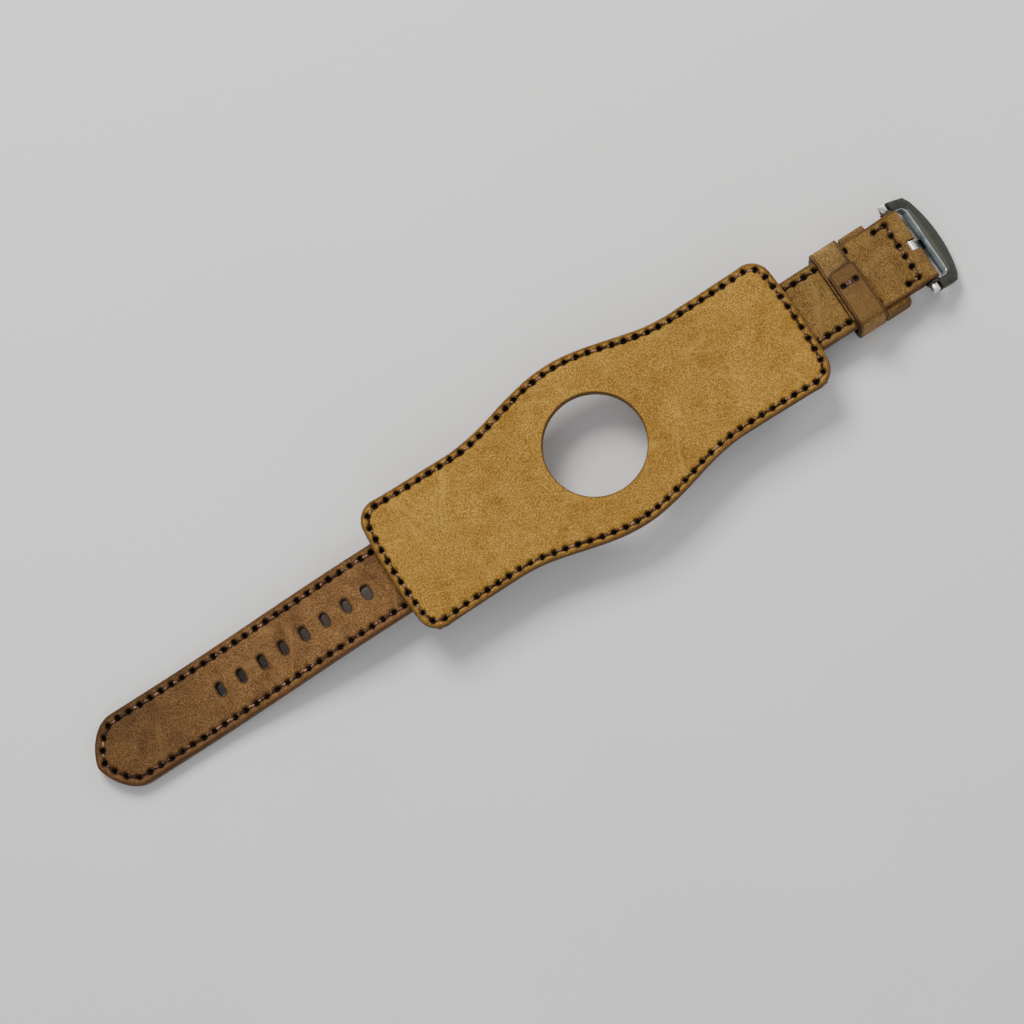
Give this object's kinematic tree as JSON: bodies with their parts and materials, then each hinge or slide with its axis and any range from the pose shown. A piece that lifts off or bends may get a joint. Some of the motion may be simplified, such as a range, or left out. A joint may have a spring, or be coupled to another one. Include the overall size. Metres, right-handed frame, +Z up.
{
  "type": "leather watch strap",
  "caption": "Bund-style leather watch strap: two stitched strap halves on a wide wrist pad with a round window, spring bars, keepers and a tang buckle.",
  "frame": {"origin": "on the table that the strap lies on, under the middle of the whole strap's length and width; the axis of the pad's round window is 22.65 mm further towards the buckle", "axes": "+X along the strap from the tail to the buckle, +Y across the strap, +Z up, towards the side that touches the wrist"},
  "size_m": [0.2482, 0.0468, 0.0128],
  "materials": {
    "pad_leather": "waxed nubuck, tan",
    "pad_front_leather": "waxed, brown",
    "tail_leather": "waxed nubuck, brown",
    "buckle_leather": "waxed nubuck, tan brown",
    "keeper_leather": "waxed nubuck, grey brown",
    "thread": "waxed, dark brown",
    "buckle_steel": "dark brushed face, bright bevel",
    "bright_steel": "bright, turned",
    "spring_steel": "drawn wire"
  },
  "bodies": {
    "pad": {"pad_lining": "pad_leather", "pad_front": "pad_front_leather", "pad_bridge_tail": "pad_front_leather", "pad_bridge_buckle": "pad_front_leather", "pad_thread": "thread"},
    "tail_half": {"tail_front_leather": "tail_leather", "tail_lining": "tail_leather", "tail_thread": "thread", "tail_bar_tube": "bright_steel", "tail_bar_spring": "spring_steel"},
    "tail_tip_left": {"tail_bar_tip_left": "bright_steel"},
    "tail_tip_right": {"tail_bar_tip_right": "bright_steel"},
    "buckle_half": {"buckle_front_leather": "buckle_leather", "buckle_lining": "buckle_leather", "buckle_thread": "thread", "buckle_side_bar_tube": "bright_steel", "buckle_side_bar_spring": "spring_steel", "fixed_keeper": "keeper_leather"},
    "buckle_tip_left": {"buckle_side_bar_tip_left": "bright_steel"},
    "buckle_tip_right": {"buckle_side_bar_tip_right": "bright_steel"},
    "sliding_keeper": {"free_keeper": "keeper_leather", "free_keeper_stitch": "thread"},
    "frame": {"buckle_frame": "buckle_steel", "buckle_bar_tube": "bright_steel", "buckle_bar_screws": "bright_steel"},
    "tang": {"buckle_tang": "bright_steel"}
  },
  "joints": [
    {"name": "tail_half_slide", "type": "slide", "parent": "pad", "child": "tail_half", "axis": [-1, 0, 0], "range_m": [-0.0015, 0.003]},
    {"name": "buckle_half_slide", "type": "slide", "parent": "pad", "child": "buckle_half", "axis": [1, 0, 0], "range_m": [-0.0015, 0.003]},
    {"name": "keeper_slide", "type": "slide", "parent": "buckle_half", "child": "sliding_keeper", "axis": [1, 0, 0], "range_m": [-0.008, 0]},
    {"name": "frame_hinge", "type": "hinge", "parent": "buckle_half", "child": "frame", "pos_m": [0.11466, 0, 0.00761], "axis": [0, 1, 0], "range_deg": [-90, 14]},
    {"name": "tang_hinge", "type": "hinge", "parent": "frame", "child": "tang", "pos_m": [0.11466, 0, 0.00761], "axis": [0, 1, 0], "range_deg": [-2, 50]},
    {"name": "tail_tip_left_slide", "type": "slide", "parent": "tail_half", "child": "tail_tip_left", "axis": [0, 1, 0], "range_m": [-0.00095, 0], "stiffness_N_per_m": 1000, "springref_m": 0.001, "deforming": ["tail_bar_spring"]},
    {"name": "tail_tip_right_slide", "type": "slide", "parent": "tail_half", "child": "tail_tip_right", "axis": [0, -1, 0], "range_m": [-0.00095, 0], "stiffness_N_per_m": 1000, "springref_m": 0.001, "deforming": ["tail_bar_spring"]},
    {"name": "buckle_tip_left_slide", "type": "slide", "parent": "buckle_half", "child": "buckle_tip_left", "axis": [0, 1, 0], "range_m": [-0.00095, 0], "stiffness_N_per_m": 1000, "springref_m": 0.001, "deforming": ["buckle_side_bar_spring"]},
    {"name": "buckle_tip_right_slide", "type": "slide", "parent": "buckle_half", "child": "buckle_tip_right", "axis": [0, -1, 0], "range_m": [-0.00095, 0], "stiffness_N_per_m": 1000, "springref_m": 0.001, "deforming": ["buckle_side_bar_spring"]}
  ]
}
